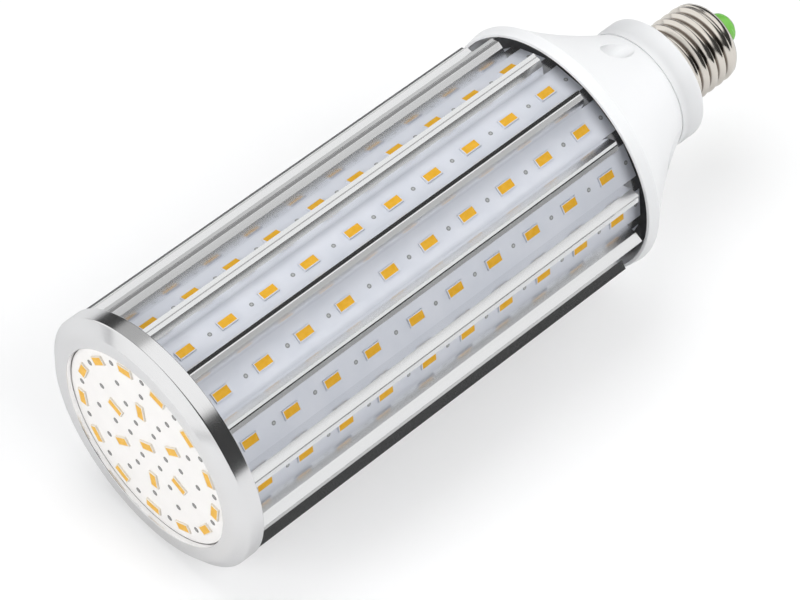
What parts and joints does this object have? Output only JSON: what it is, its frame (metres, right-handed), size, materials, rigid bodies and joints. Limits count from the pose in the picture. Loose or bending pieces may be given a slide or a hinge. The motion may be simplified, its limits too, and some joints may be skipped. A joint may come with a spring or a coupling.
{
  "type": "corn LED bulb",
  "caption": "Corn LED bulb: a finned aluminium body with LED strips between the fins, a lit flat end, a white flared collar and an E27 screw cap.",
  "frame": {"origin": "centre of the end ring's front face, on the lamp's axis, at the lamp's lowest point", "axes": "+Z along the lamp's axis from the lit end to the screw cap; the collar's screws lie midway between the X and Y axes"},
  "size_m": [0.0804, 0.0804, 0.2298],
  "materials": {
    "aluminium": "polished",
    "turned_aluminium": "turned",
    "side_board_white": "white solder mask",
    "end_board_white": "white solder mask",
    "led_chip": "phosphor gel",
    "white_plastic": "gloss",
    "neck_white": "gloss",
    "cap_nickel": "nickel plate",
    "green_insulator": "gloss",
    "contact_metal": "plain",
    "screw_steel": "zinc plate",
    "black_plastic": "matt",
    "driver_green": "satin",
    "ferrite": "matt",
    "capacitor_sleeve": "gloss",
    "copper_wire": "drawn",
    "fuse_body": "gloss"
  },
  "bodies": {
    "root": {"base_collar": "white_plastic", "cap_insulator": "green_insulator", "capacitors": "capacitor_sleeve", "centre_contact": "contact_metal", "collar_screws": "screw_steel", "driver_board": "driver_green", "driver_tray": "black_plastic", "end_board": "end_board_white", "end_chips": "led_chip", "end_ring": "turned_aluminium", "fuse": "fuse_body", "heat_sink": "aluminium", "line_choke": "ferrite", "live_lead": "copper_wire", "neck_ring": "neck_white", "neutral_lead": "copper_wire", "rectifier": "ferrite", "screw_shell": "cap_nickel", "side_board_01": "side_board_white", "side_board_02": "side_board_white", "side_board_03": "side_board_white", "side_board_04": "side_board_white", "side_board_05": "side_board_white", "side_board_06": "side_board_white", "side_board_07": "side_board_white", "side_board_08": "side_board_white", "side_board_09": "side_board_white", "side_board_10": "side_board_white", "side_board_11": "side_board_white", "side_board_12": "side_board_white", "side_board_13": "side_board_white", "side_board_14": "side_board_white", "side_chips_01": "led_chip", "side_chips_02": "led_chip", "side_chips_03": "led_chip", "side_chips_04": "led_chip", "side_chips_05": "led_chip", "side_chips_06": "led_chip", "side_chips_07": "led_chip", "side_chips_08": "led_chip", "side_chips_09": "led_chip", "side_chips_10": "led_chip", "side_chips_11": "led_chip", "side_chips_12": "led_chip", "side_chips_13": "led_chip", "side_chips_14": "led_chip", "supply_leads": "copper_wire", "transformer": "ferrite"}
  },
  "joints": []
}
